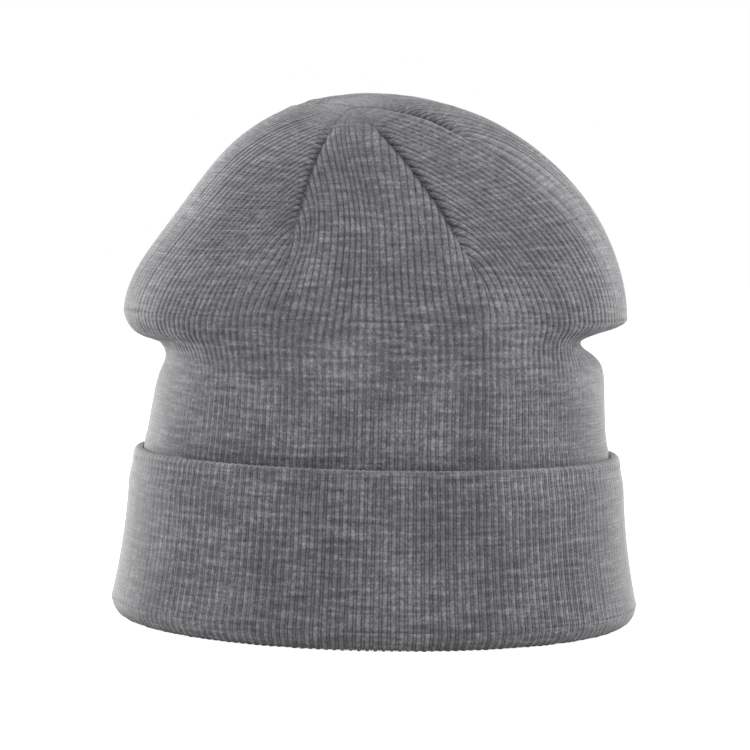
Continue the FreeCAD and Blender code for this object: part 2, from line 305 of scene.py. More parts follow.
def crease_depth(height, middle, depth, below, above, fade):
    spread = np.where(height < middle, below, above)
    return depth * np.exp(-((height - middle) / spread) ** 2) \
        * ease(1.0, 0.0, EAR_HEIGHT - fade, EAR_HEIGHT, height)


def wall_half_width(height):
    return np.where(height < WAIST_HEIGHT,
                    ease(WALL_HALF[0], WAIST_HALF_WIDTH, CUFF_HEIGHT, WAIST_HEIGHT, height),
                    ease(WAIST_HALF_WIDTH, EAR_HALF[0], WAIST_HEIGHT, EAR_HEIGHT, height))


def wall_point(angle, height):
    """Point of the hat's wall, below the widest level."""
    drawn = np.exp(-((height - CUFF_HEIGHT) / WALL_DRAWN_OVER) ** 2)
    width = wall_half_width(height) - WALL_DRAWN[0] * drawn
    length = ease(WALL_HALF[1], EAR_HALF[1], CUFF_HEIGHT, EAR_HEIGHT, height)
    length -= WALL_DRAWN[1] * drawn
    crease = np.where(np.cos(angle) > 0, crease_depth(height, *RIGHT_CREASE),
                      crease_depth(height, *LEFT_CREASE))
    pinch = crease * np.abs(np.cos(angle)) ** CREASE_SHARPNESS
    return np.stack((wall_shift(height) + (width - pinch) * np.cos(angle),
                     length * np.sin(angle),
                     height + 0.0 * angle), axis=-1)


def wall_normal(angle, height):
    turn = 0.001
    lift = 0.1 * MM
    across = wall_point(angle + turn, height) - wall_point(angle - turn, height)
    along = wall_point(angle, height + lift) - wall_point(angle, height - lift)
    return unit(np.cross(across, along))


def crown_rise(plan):
    return np.clip(1.0 - (plan ** 2).sum(-1), 0.0, 1.0) ** (1.0 / CROWN_ROUNDNESS)


def crown_point(plan):
    rise = crown_rise(plan)
    share = 1.0 - CROWN_HOLLOW * np.sin(pi * rise) ** 2
    lean = CROWN_LEAN * np.sin(pi * rise) ** 2
    return np.stack((EAR_HALF[0] * plan[..., 0] * share + CROWN_SHIFT + lean,
                     EAR_HALF[1] * plan[..., 1] * share,
                     EAR_HEIGHT + CROWN_RISE * rise), axis=-1)


def crown_normal(plan):
    rise = crown_rise(plan)
    swing = np.sin(2.0 * pi * rise)
    share = 1.0 - CROWN_HOLLOW * np.sin(pi * rise) ** 2
    level = 2.0 * plan / (EAR_HALF * share[..., None])
    upward = CROWN_ROUNDNESS * rise ** (CROWN_ROUNDNESS - 1.0) \
        - level[..., 0] * CROWN_LEAN * pi * swing \
        + 2.0 * (plan ** 2).sum(-1) * CROWN_HOLLOW * pi * swing / share
    return unit(np.concatenate((level, upward[..., None] / CROWN_RISE), axis=-1))


# ---------------------------------------------------------------- darts
def dome(plan):
    """Places of the plan raised onto a round dome of radius 1, on which the ribs run."""
    up = np.sqrt(np.clip(1.0 - (plan ** 2).sum(-1, keepdims=True), 0.0, 1.0))
    return np.concatenate((plan, up), axis=-1)


def dome_sides(points):
    """Two directions along the dome, sideways and then upwards or backwards."""
    sideways = unit(np.array((1.0, 0.0, 0.0)) - points * points[..., :1])
    return sideways, np.cross(points, sideways)


def lengths_along(points):
    steps = np.linalg.norm(np.diff(points, axis=0), axis=-1)
    return np.concatenate((np.zeros((1, *steps.shape[1:])), np.cumsum(steps, axis=0)))


class Dart:
    """Curve in the crown's plan from a dart's lower end to the pole."""

    def __init__(self, start, pull, leave):
        t = np.linspace(0.0, 1.0, CURVE_POINTS)[:, None]
        self.plan = (1 - t) ** 2 * np.array(start) + 2 * t * (1 - t) * np.array(pull) + t * t * POLE
        self.points = crown_point(self.plan)
        length = lengths_along(self.points)
        self.share = length / length[-1]
        self.leave = radians(leave)
        low, high = dome(self.plan[:4:3])
        sideways, upwards = dome_sides(low)
        self.angle = np.degrees(np.arctan2((high - low) @ upwards, (high - low) @ sideways))

    def at(self, share):
        """Place in the plan at a share of the way from the lower end to the pole."""
        return np.stack([np.interp(share, self.share, self.plan[:, k]) for k in (0, 1)], axis=-1)

    def nearest(self, points):
        """Distance of points from the dart, and the share along the dart where it is nearest."""
        tree = mathutils.kdtree.KDTree(len(self.points))
        for k, spot in enumerate(self.points):
            tree.insert(spot, k)
        tree.balance()
        found = [tree.find(point)[1:] for point in points.reshape(-1, 3)]
        spots, distances = (np.array(part).reshape(points.shape[:-1]) for part in zip(*found))
        return distances, self.share[spots]


DART = {name: Dart(*values) for name, values in DARTS.items()}


# ---------------------------------------------------------------- gores
class Gore:
    """Fabric between two darts, whose ribs run into the darts one after another.

    Its ribs are counted from the one that ends at the pole.
    """

    def __init__(self, number):
        entry = GORES[number]
        self.name = entry["name"]
        self.darts = [DART[dart] for dart in entry["darts"]]
        self.first_ribs, self.last_ribs = entry["ribs"]
        self.tilt = radians(entry["tilt"])
        self.reach, self.spread = entry["reach"], entry["spread"]
        ribs_before = sum(sum(gore["ribs"]) for gore in GORES[:number])
        # The pole rib's number where the ribs are counted round the hat.
        self.offset = FIRST_RIB + self.first_ribs + ribs_before
        low, high = (dart.leave for dart in self.darts)
        self.turn = np.linspace(low, high + 2 * pi * (high < low), CURVE_POINTS)
        foot = np.stack((np.cos(self.turn), np.sin(self.turn)), axis=-1)
        length = lengths_along(crown_point(foot))
        self.rib = length / length[-1] * (self.first_ribs + self.last_ribs) - self.first_ribs
        edges = [near + (dart.angle - near + 180) % 360 - 180
                 for dart, near in zip(self.darts, (entry["arrive"][0], entry["arrive"][-1]))]
        self.arrive = (edges[0], *entry["arrive"], edges[1])

    def shares(self, ribs):
        """Share of the way from the pole rib to the first (negative) or to the last dart."""
        return np.where(ribs < 0, ribs / self.first_ribs, ribs / self.last_ribs)

    def leave_angle(self, ribs):
        return np.interp(ribs, self.rib, self.turn)

    def leave_tilt(self, ribs):
        return self.tilt * np.sin(pi * self.shares(ribs))

    def arrive_angle(self, share):
        angle = np.full(share.shape, float(self.arrive[0]))
        places = (-1.0, *ARRIVE_SHARES, 1.0)
        for k in range(len(places) - 1):
            angle += ease(0.0, self.arrive[k + 1] - self.arrive[k], places[k], places[k + 1], share)
        return np.radians(angle)[:, None]

    def lines(self, ribs, count):
        """Plan of each rib (columns) from the wall to its dart."""
        share = self.shares(ribs)
        along = 1.0 - np.abs(share) ** np.where(ribs < 0, *self.spread)
        first, last = self.darts
        end = dome(np.where((ribs < 0)[:, None], first.at(along), last.at(along)))
        sideways, upwards = dome_sides(end)
        angle = self.arrive_angle(share)
        arrive = sideways * np.cos(angle) + upwards * np.sin(angle)
        angle = self.leave_angle(ribs)
        start = np.stack((np.cos(angle), np.sin(angle), 0 * angle), axis=-1)
        tilt = self.leave_tilt(ribs)
        leave = np.stack((-np.sin(angle) * np.sin(tilt), np.cos(angle) * np.sin(tilt),
                          np.cos(tilt)), axis=-1)
        far = np.linalg.norm(end - start, axis=-1, keepdims=True)
        reach = EDGE_REACH + (1.0 - share[:, None] ** 4) * (np.array(self.reach) - EDGE_REACH)
        start_pull = start + reach[:, :1] * far * leave
        end_pull = end - reach[:, 1:] * far * arrive
        t = np.linspace(0.0, 1.0, count)[:, None, None]
        curve = (1 - t) ** 3 * start + 3 * t * (1 - t) ** 2 * start_pull \
            + 3 * t * t * (1 - t) * end_pull + t ** 3 * end
        return unit(curve)[..., :2]


GORE_LIST = [Gore(number) for number in range(len(GORES))]


def numbers(gore, phases):
    """Rib numbers of the columns over a gore, from one edge to the other."""
    counted = [rib + 0.5 + phase for rib in range(-gore.first_ribs, gore.last_ribs)
               for phase in phases]
    return np.array(counted + [gore.last_ribs])


def ring_numbers(phases):
    """Rib numbers of the columns round the whole hat."""
    return np.array([FIRST_RIB + rib + 0.5 + phase for rib in range(ALL_RIBS) for phase in phases])


def from_gores(ribs, method):
    """Values of a gore's method for ribs counted round the hat."""
    values = np.zeros(len(ribs))
    for gore in GORE_LIST:
        own = ribs - gore.offset
        mine = (own >= -gore.first_ribs - 1e-9) & (own <= gore.last_ribs + 1e-9)
        values[mine] = getattr(gore, method)(own[mine])
    return values


def level_angles(ribs):
    """Angle of each rib where the ribs are evenly spaced round the wall."""
    front = GORE_LIST[1].leave_angle(FRONT_RIB)
    turn = front + np.linspace(-pi, 2 * pi, TURN_POINTS)
    points = np.stack((WALL_HALF[0] * np.cos(turn), WALL_HALF[1] * np.sin(turn)), axis=-1)
    lengths = lengths_along(points)
    lengths -= np.interp(front, turn, lengths)
    whole = np.interp(front + 2 * pi, turn, lengths)
    return np.interp((np.asarray(ribs) - FRONT_RIB) * whole / ALL_RIBS, lengths, turn)


def wall_angles(ribs, heights):
    """Angle of each rib (columns) at each height (rows).

    The ribs are evenly spaced at the foot and meet the gores' ribs at the ears.  Between
    them they stay upright in front, though the wall shifts sideways and narrows.
    """
    level = level_angles(ribs)
    ear = np.unwrap(from_gores(ribs, "leave_angle"))
    ear = ear + 2 * pi * np.round((level - ear) / (2 * pi)).mean().round()
    t = np.clip((heights - FAN_LOW) / (EAR_HEIGHT - FAN_LOW), 0.0, 1.0)[:, None]
    fan = (ear - level) * t * t * (3.0 - 2.0 * t)
    tilt = np.tan(from_gores(ribs, "leave_tilt")) * (EAR_HEIGHT - FAN_LOW) / TILT_REACH
    shifted = (wall_shift(heights) - CROWN_SHIFT)[:, None] * np.sin(level) / WALL_HALF[0]
    narrowed = (EAR_HALF[0] / wall_half_width(heights) - 1.0) \
        * ease(0.0, 1.0, BEND_HEIGHT, CUFF_HEIGHT, heights)
    gathered = narrowed[:, None] * np.sin(2.0 * level) / 2.0
    return level + shifted - gathered + fan + tilt * (t ** 3 - t ** 2)


# ---------------------------------------------------------------- unevenness
def waves(points, seed, size, count=7):
    """Smooth repeatable unevenness, from about -1 to 1, over points, with lumps of a size."""
    rng = np.random.default_rng(seed)
    total = np.zeros(points.shape[:-1])
    for _ in range(count):
        direction = unit(rng.normal(size=3))
        total += np.sin(2 * pi / size * rng.uniform(0.5, 1.3) * (points @ direction)
                        + rng.uniform(0, 2 * pi))
    return total / np.sqrt(2 * count)


RIB_HEIGHTS = 1.0 + RIB_UNEVENNESS * np.random.default_rng(RIB_SEED).normal(0.0, 1.0, ALL_RIBS)


def rib_relief(ribs, heights):
    """Height of the knit's face over its middle depth, for rib numbers at heights over the floor.

    Relaxed rib, as in the crown, hides its purl wales in narrow valleys.  Stretched
    rib, as in the cuff, shows them as lower ridges between the knit wales.
    """
    stretch = ease(1.0, 0.0, STRETCH_LOW, STRETCH_HIGH, heights)
    rib = np.floor(ribs + 1e-6).astype(int) % ALL_RIBS
    phase = np.abs(ribs - np.floor(ribs + 1e-6) - 0.5)
    half = KNIT_HALF[0] + (KNIT_HALF[1] - KNIT_HALF[0]) * stretch
    knit = np.sqrt(np.clip(1.0 - (phase / half) ** 2, 0.0, 1.0))
    purl = np.sqrt(np.clip(1.0 - ((0.5 - phase) / PURL_HALF) ** 2, 0.0, 1.0))
    shape = np.maximum(knit * RIB_HEIGHTS[rib], PURL_HEIGHT * stretch * purl)
    return (RIB_RELIEF + (STRETCHED_RELIEF - RIB_RELIEF) * stretch) * (shape - MIDDLE_DEPTH)


# ---------------------------------------------------------------- meshes of plies
def kept(count, step):
    """Every so many of a row of indices, with the last."""
    return np.unique(np.append(np.arange(0, count, step), count - 1))


def ply_mesh(name, face, under, ribs, courses, phases, row_step, wrap, seam, worn):
    """Thin solid: a fine face, a coarse underside, and a rim round their edges.

    face and under are grids of points, rows along the courses and columns along the
    ribs, that turn their outside to the viewer when the ribs run to the right and the
    courses upwards.  The underside keeps one column of each rib (phases is their number)
    and one row in row_step.  A wrapped grid closes round the hat.  seam and worn are
    levels over the face, for the material.
    """
    rows, columns = face.shape[:2]
    low_rows = kept(rows, row_step)
    low_columns = np.arange(0, columns, phases) if wrap else kept(columns, phases)
    across = len(low_columns)
    fine = np.arange(rows * columns).reshape(rows, columns)
    coarse = rows * columns + np.arange(len(low_rows) * across).reshape(len(low_rows), across)
    if wrap:
        fine = np.hstack((fine, fine[:, :1]))
        coarse = np.hstack((coarse, coarse[:, :1]))
        low_columns = np.append(low_columns, columns)

    def quads(grid):
        corners = grid[:-1, :-1], grid[:-1, 1:], grid[1:, 1:], grid[1:, :-1]
        return np.stack(corners, axis=-1).reshape(-1, 4).tolist()

    rim = []
    for k in range(len(low_columns) - 1):
        span = slice(low_columns[k], low_columns[k + 1] + 1)
        rim.append([coarse[0, k], coarse[0, k + 1], *fine[0, span][::-1]])
        rim.append([coarse[-1, k + 1], coarse[-1, k], *fine[-1, span]])
    if not wrap:
        for j in range(len(low_rows) - 1):
            span = slice(low_rows[j], low_rows[j + 1] + 1)
            rim.append([*fine[span, 0], coarse[j + 1, 0], coarse[j, 0]])
            rim.append([coarse[j, -1], coarse[j + 1, -1], *fine[span, -1][::-1]])
    smooth = quads(fine) + quads(coarse[:, ::-1])

    def both(face_grid, under_grid):
        low = under_grid[np.ix_(low_rows, low_columns[:across])]
        return np.concatenate([grid.reshape(-1, grid.shape[-1]) for grid in (face_grid, low)])

    points = both(face, under)
    mesh = bpy.data.meshes.new(name)
    mesh.from_pydata(points.tolist(), [], smooth + [[int(i) for i in polygon] for polygon in rim])
    flags = np.zeros(len(mesh.polygons), dtype=bool)
    flags[:len(smooth)] = True
    mesh.polygons.foreach_set("use_smooth", flags)

    knit = np.stack((np.broadcast_to(ribs, (rows, columns)), courses), axis=-1)
    corner = np.zeros(len(mesh.loops), dtype=int)
    mesh.loops.foreach_get("vertex_index", corner)
    start = np.zeros(len(mesh.polygons), dtype=int)
    mesh.polygons.foreach_get("loop_start", start)
    places = both(knit, knit)[corner]
    # A face that closes the ring has its last corners one whole turn further.
    widest = np.repeat(np.maximum.reduceat(places[:, 0], start),
                       np.diff(np.append(start, len(corner))))
    places[:, 0] += np.where(places[:, 0] < widest - ALL_RIBS / 2, ALL_RIBS, 0.0)
    mesh.uv_layers.new(name="Knit").data.foreach_set("uv", places.ravel())
    # Seam is the nearness of a dart, where the material paints shade into the valleys and the
    # groove.
    for label, share in (("Seam", seam), ("Worn", worn)):
        level = np.zeros(len(points))
        level[:rows * columns] = np.broadcast_to(share, (rows, columns)).ravel()
        mesh.attributes.new(label, "FLOAT", "POINT").data.foreach_set("value", level)
    mesh.update()
    return add_object(name, mesh)


def add_ply(name, points, normals, ribs, courses, phases, material, replaced,
            thickness=PLY, row_step=UNDER_ROW_STEP, wrap=False, inward=False, seam=0.0, worn=0.0):
    """Piece of knit over a grid of points, with ribs on the side that the normals point to."""
    sides = np.where(normals[..., 0] < 0, *SIDE_WEAR) * normals[..., 0] ** 2
    height = rib_relief(np.broadcast_to(ribs, points.shape[:2]), points[..., 2]) \
        * (1.0 - worn) * (1.0 - sides)
    face = points + normals * height[..., None]
    under = points - normals * thickness
    if inward:
        face, under, courses = face[::-1], under[::-1], courses[::-1]
    made = ply_mesh(name, face, under, ribs, courses, len(phases), row_step, wrap, seam, worn)
    made.data.materials.append(material)
    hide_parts(replaced)
    return made


# ---------------------------------------------------------------- wall and gores
def unevenness(points):
    return LUMP_HEIGHT * waves(points, LUMP_SEED, LUMP_SIZE)


def build_wall(name, phases, low_depth, high_depth, material, replaced, inward):
    """Wall from the foot's bend to the ears, at a depth behind the hat's face."""
    ribs = ring_numbers(phases)
    heights = np.concatenate((np.linspace(BEND_HEIGHT, WAIST_HEIGHT, WALL_ROWS[0], endpoint=False),
                              np.linspace(WAIST_HEIGHT, EAR_HEIGHT, WALL_ROWS[1])))
    angle = wall_angles(ribs, heights)
    height = np.repeat(heights[:, None], len(ribs), axis=1)
    depth = ease(low_depth, high_depth, CUFF_HEIGHT, EAR_HEIGHT, height)
    points = wall_point(angle, height)
    normals = wall_normal(angle, height)
    points += normals * (unevenness(points) - depth)[..., None]
    courses = (height - EAR_HEIGHT) / COURSE
    made = add_ply(name, points, -normals if inward else normals, ribs, courses, phases, material,
                   replaced, row_step=1, wrap=True, inward=inward)
    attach(made, "hat")


def around_darts(points):
    """Distance from the nearest dart, and how strongly that dart is drawn in there."""
    away = np.full(points.shape[:-1], np.inf)
    strength = np.zeros(points.shape[:-1])
    for dart in DART.values():
        distance, share = dart.nearest(points)
        drawn = ease(GROOVE_START, 1.0, 0.0, GROOVE_FULL, share)
        strength = np.where(distance < away, drawn, strength)
        away = np.minimum(away, distance)
    return away, strength


def groove_depth(away):
    return GROOVE_DEPTH * np.exp(-(away / GROOVE_SPREAD) ** 2) \
        - SWELL_HEIGHT * np.exp(-((away - SWELL_AWAY) / SWELL_SPREAD) ** 2)


def build_gore(gore, name, phases, rows, depth, material, replaced, inward):
    """Gore of the crown, or of its lining, at a depth behind the hat's face."""
    ribs = numbers(gore, phases)
    lines = gore.lines(ribs, RIB_POINTS)
    lengths = lengths_along(crown_point(lines))
    plan = np.zeros((rows, len(ribs), 2))
    for k in range(len(ribs)):
        even = np.linspace(0.0, lengths[-1, k], rows)
        plan[:, k] = np.stack([np.interp(even, lengths[:, k], lines[:, k, i]) for i in (0, 1)],
                              axis=-1)
    courses = np.linspace(0.0, 1.0, rows)[:, None] * lengths[-1] / COURSE
    outline = crown_point(plan)
    normals = crown_normal(plan)
    lift = unevenness(outline) - depth
    along = unit(np.gradient(outline, axis=0))
    pitch = np.gradient(outline, axis=1) / np.gradient(ribs)[:, None]
    pitch = np.linalg.norm(pitch - (pitch * along).sum(-1, keepdims=True) * along, axis=-1)
    from_pole = np.linalg.norm(outline - crown_point(POLE), axis=-1)
    worn = np.maximum(ease(1.0, 0.0, *WORN_PITCH, pitch),
                      ease(1.0, 0.0, *WORN_POLE, from_pole))
    seam = 0.0
    if not inward:
        away, strength = around_darts(outline)
        strength = strength * ease(0.0, 1.0, *WORN_POLE, from_pole)
        lift -= strength * groove_depth(away)
        # nearness of the dart, where the material paints shade into the valleys and the groove
        seam = strength * np.exp(-(away / DART_SHADE_SPREAD) ** 2)
    points = outline + normals * lift[..., None]
    made = add_ply(name, points, -normals if inward else normals, ribs + gore.offset, courses,
                   phases, material, replaced, inward=inward, seam=seam, worn=worn)
    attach(made, "hat")


# ---------------------------------------------------------------- cuff
def near_edge(height):
    """0 along the cuff and 1 where its folded edge starts."""
    return ease(0.0, 1.0, PLY_TOP - EDGE_DRAWN_OVER, PLY_TOP, height)


def cuff_half(height):
    """Half width and half depth of the cuff's face."""
    flare = ((CUFF_HEIGHT - height) / (CUFF_HEIGHT - BEND_HEIGHT)) ** CUFF_FLARE
    drawn = EDGE_DRAWN * near_edge(height)
    return EDGE_HALF + (FOOT_HALF - EDGE_HALF) * np.asarray(flare)[..., None] \
        - np.asarray(drawn)[..., None]


def band_points(ribs, halves, heights):
    """Grid of a band round the hat from the half sizes and heights of its rows."""
    angle = level_angles(ribs)
    rim = np.stack((np.cos(angle), np.sin(angle)), axis=-1)
    flat = halves[:, None, :] * rim[None]
    return np.concatenate((flat, np.repeat(heights[:, None, None], len(ribs), axis=1)), axis=-1)


def band_normals(points):
    across = np.roll(points, -1, axis=1) - np.roll(points, 1, axis=1)
    return unit(np.cross(across, np.gradient(points, axis=0)))


def turned(start, end, count, first, last):
    """Stretch of a fold's profile: a quarter of an ellipse from start to end.

    Its angle runs from first to last, 0 where it is upright and pi/2 where it is level.
    """
    angle = np.linspace(first, last, count)[:, None]
    return start + (end - start) * np.hstack((1 - np.cos(angle), 1 - np.cos(angle), np.sin(angle)))


def build_band(name, profile, phases, first_course, material, replaced, **options):
    """Ring of knit from its profile, rows of half width, half depth and height."""
    ribs = ring_numbers(phases)
    points = band_points(ribs, profile[:, :2], profile[:, 2])
    steps = np.linalg.norm(np.diff(profile, axis=0)[:, [0, 2]], axis=-1)
    course = first_course + np.concatenate(([0.0], np.cumsum(steps))) / COURSE
    courses = np.repeat(course[:, None], len(ribs), axis=1)
    return add_ply(name, points, band_normals(points), ribs, courses, phases, material, replaced,
                   wrap=True, **options)


def build_cuff(material):
    """The cuff's two plies, its folded edge, and the bends under its foot."""
    foot = cuff_half(BEND_HEIGHT)
    edge = cuff_half(PLY_TOP)
    inner_foot = WALL_HALF - LINING_INSIDE
    corner = (foot - inner_foot - REST_BAND) / 2

    heights = np.linspace(BEND_HEIGHT, PLY_TOP, CUFF_ROWS)
    outer = np.hstack((cuff_half(heights), heights[:, None]))
    plies = [build_band("cuff_outer_knit", outer, FINE, 0.0, material, "cuff_outer_ply")]
    heights = np.linspace(PLY_TOP, BEND_HEIGHT, INNER_CUFF_ROWS)
    inner = cuff_half(heights) - LINING_INSIDE - EDGE_SWELL * near_edge(heights)[:, None]
    inner = np.hstack((inner, heights[:, None]))
    plies.append(build_band("cuff_inner_knit", inner, COARSE, 0.0, material, "cuff_inner_ply"))
    for ply in plies:
        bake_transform(ply)

    full = LINING_INSIDE + EDGE_SWELL
    low = np.array((*edge, PLY_TOP))
    crest = np.array((*(edge - (full - EDGE_CREST) / 2), CUFF_HEIGHT))
    inner_crest = np.array((*(edge - full + EDGE_INNER_ROUND), CUFF_HEIGHT))
    inner_low = np.array((*(edge - full), PLY_TOP))
    fold = np.vstack((turned(low, crest, FOLD_ROWS[0], 0.0, pi / 2),
                      turned(inner_low, inner_crest, FOLD_ROWS[1], pi / 2, 0.0)))
    fold_worn = np.interp(fold[:, 2], (PLY_TOP, CUFF_HEIGHT), (0.0, FOLD_WEAR))[:, None]
    made = build_band("cuff_edge_fold", fold, FINE, (PLY_TOP - BEND_HEIGHT) / COURSE, material,
                      "cuff_folded_edge", thickness=FOLD_PLY, worn=fold_worn)
    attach(made, "cuff_edge")

    for name, replaced, offset, phases in (
            ("turn_up_outer_knit", "turn_up_outer_bend", 0.0, FINE),
            ("turn_up_inner_knit", "turn_up_inner_bend", LINING_FACE, COARSE)):
        inside = turned(np.array((*(inner_foot + offset), BEND_HEIGHT)),
                        np.array((*(inner_foot + corner), offset)), FOOT_ROWS, 0.0, pi / 2)
        outside = turned(np.array((*(foot - offset), BEND_HEIGHT)),
                         np.array((*(foot - corner), offset)), FOOT_ROWS, pi / 2, 0.0)
        made = build_band(name, np.vstack((inside, outside)), phases, TURN_UP_COURSE, material,
                          replaced)
        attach(made, "hat")


# ---------------------------------------------------------------- materials
def feed(tree, socket, value):
    """Link a socket to another node's output, or set its value; None leaves it as it is."""
    if isinstance(value, bpy.types.NodeSocket):
        tree.links.new(value, socket)
    elif value is not None:
        socket.default_value = value


def shade(tree, kind, *inputs, **settings):
    """First output of a new shader node."""
    made = tree.nodes.new(kind)
    for key, value in settings.items():
        setattr(made, key, value)
    for socket, value in zip(made.inputs, inputs):
        feed(tree, socket, value)
    return made.outputs[0]


def source(tree, kind, output, *inputs, **settings):
    """Named or numbered output of a new shader node."""
    return shade(tree, kind, *inputs, **settings).node.outputs[output]


def calc(tree, operation, *inputs):
    return shade(tree, "ShaderNodeMath", *inputs, operation=operation)


def size_of(tree, value):
    return calc(tree, "ABSOLUTE", value)


def ranged(tree, value, *ends):
    """Value that runs from the third end to the fourth while the input runs over the others."""
    return shade(tree, "ShaderNodeMapRange", value, *ends)


def noise(tree, where, scale, detail=2.0, roughness=0.5):
    return shade(tree, "ShaderNodeTexNoise", where, None, scale, detail, roughness)


def place(tree, x, y, z=0.0):
    return shade(tree, "ShaderNodeCombineXYZ", x, y, z)


def part(tree, value, axis):
    """x, y or z (0, 1 or 2) of a vector."""
    return source(tree, "ShaderNodeSeparateXYZ", axis, value)


def vector(tree, operation, *inputs, scale=None):
    made = shade(tree, "ShaderNodeVectorMath", *inputs, operation=operation).node
    if scale is not None:
        tree.links.new(scale, made.inputs["Scale"])
    return made.outputs["Value" if operation == "DOT_PRODUCT" else "Vector"]


def grey(level):
    return (level, level, level, 1.0)


def screen(*levels):
    """Linear colour from display levels of 0 to 255."""
    return (*(((level / 255 + 0.055) / 1.055) ** 2.4 for level in levels), 1.0)


def ramp(tree, value, stops):
    """Colour from a value by stops of (place, grey level or colour)."""
    made = shade(tree, "ShaderNodeValToRGB", value).node
    elements = made.color_ramp.elements
    for k, (at, colour) in enumerate(stops):
        element = elements[k] if k < 2 else elements.new(at)
        element.position = at
        element.color = grey(colour) if isinstance(colour, float) else colour
    return made.outputs[0]


def mix(tree, blend, factor, first, second):
    """Colour of two colours mixed or multiplied."""
    made = shade(tree, "ShaderNodeMix", data_type="RGBA", blend_type=blend).node
    for socket, value in (("Factor", factor), (6, first), (7, second)):
        feed(tree, made.inputs[socket], value)
    return made.outputs[2]


def bump(tree, height, distance, strength=1.0, normal=None):
    made = tree.nodes.new("ShaderNodeBump")
    for socket, value in (("Strength", strength), ("Distance", distance), ("Height", height),
                          ("Normal", normal)):
        feed(tree, made.inputs[socket], value)
    return made.outputs[0]


def new_material(name, surface):
    """Material, its node tree and its shader, set to the surface's values."""
    material = bpy.data.materials.new(name)
    material.use_nodes = True
    tree = material.node_tree
    shader = tree.nodes["Principled BSDF"]
    for socket, value in surface.items():
        shader.inputs[socket].default_value = value
    return material, tree, shader


def shape_normal(tree, where, height, normal):
    """Normal of the hat's overall shape, without its ribs, turned the way that the face looks."""
    over_ears = calc(tree, "MAXIMUM", calc(tree, "SUBTRACT", height, EAR_HEIGHT), 0.0)
    lift = place(tree, 0.0, 0.0, calc(tree, "MULTIPLY", over_ears, SHAPE_LIFT))
    level = vector(tree, "MULTIPLY", where, SHAPE_LEVEL)
    outward = vector(tree, "NORMALIZE", vector(tree, "ADD", level, lift))
    side = calc(tree, "SIGN", vector(tree, "DOT_PRODUCT", outward, normal))
    return vector(tree, "SCALE", outward, scale=side)


def rib_blur(tree, where, shape, facing, near_dart):
    """How far the ribs blur, losing painted valley shade: at the sides, and where they are worn."""
    left_fade = ranged(tree, part(tree, where, 0), *BLUR_ACROSS)
    blur = ramp(tree, calc(tree, "MULTIPLY", facing, left_fade), BLUR)
    upward = ranged(tree, size_of(tree, part(tree, shape, 2)), *BLUR_TOP)
    blur = calc(tree, "MULTIPLY", blur, upward)
    blur = calc(tree, "MULTIPLY", blur, calc(tree, "SUBTRACT", 1.0, near_dart))
    worn = source(tree, "ShaderNodeAttribute", "Fac", attribute_name="Worn")
    return calc(tree, "MAXIMUM", blur, worn)


def painted_rib_shade(tree, from_crest, height, blur, near_dart):
    """Painted shade of a rib's valleys, deeper beside the darts."""
    across = calc(tree, "MULTIPLY", from_crest, 2.0)
    stretch = ranged(tree, height, STRETCH_LOW, STRETCH_HIGH, 1.0, 0.0)
    valley = mix(tree, "MIX", stretch, ramp(tree, across, RELAXED_PAINTED_SHADE),
                 ramp(tree, across, STRETCHED_PAINTED_SHADE))
    # beside a dart the valley's painted shade is deepened
    gathered = mix(tree, "MULTIPLY", near_dart, valley, valley)
    blurred = mix(tree, "MIX", blur, gathered, grey(MEAN_PAINTED_SHADE))
    return mix(tree, "MULTIPLY", 1.0, blurred, ramp(tree, near_dart, DART_PAINTED_SHADE))


def heather(tree, rib, course, where):
    """Tone of the yarn, and the noise of its fibres."""
    x = calc(tree, "MULTIPLY", rib, RIB_WIDTH / MM)
    y = calc(tree, "MULTIPLY", course, COURSE / MM)
    made = {}
    tone = calc(tree, "MULTIPLY", noise(tree, where, CLOUD_SCALE, 1.0), CLOUD_SHARE)
    for name, (across, along, layer, scale, detail, roughness, share) in HEATHER.items():
        scaled = calc(tree, "MULTIPLY", x, across), calc(tree, "MULTIPLY", y, along)
        made[name] = noise(tree, place(tree, *scaled, layer), scale, detail, roughness)
        tone = calc(tree, "MULTIPLY_ADD", made[name], share, tone)
    return tone, made["fibre"]


def laid_normal(tree, normal, shape, blur):
    """Normal laid towards the hat's overall shape where the ribs blur."""
    upturned = calc(tree, "SUBTRACT", size_of(tree, part(tree, normal, 2)),
                    size_of(tree, part(tree, shape, 2)))
    share = calc(tree, "MULTIPLY", blur, ranged(tree, upturned, *BLUR_UPTURNED))
    lay = vector(tree, "SCALE", vector(tree, "SUBTRACT", shape, normal), scale=share)
    return vector(tree, "NORMALIZE", vector(tree, "ADD", normal, lay))


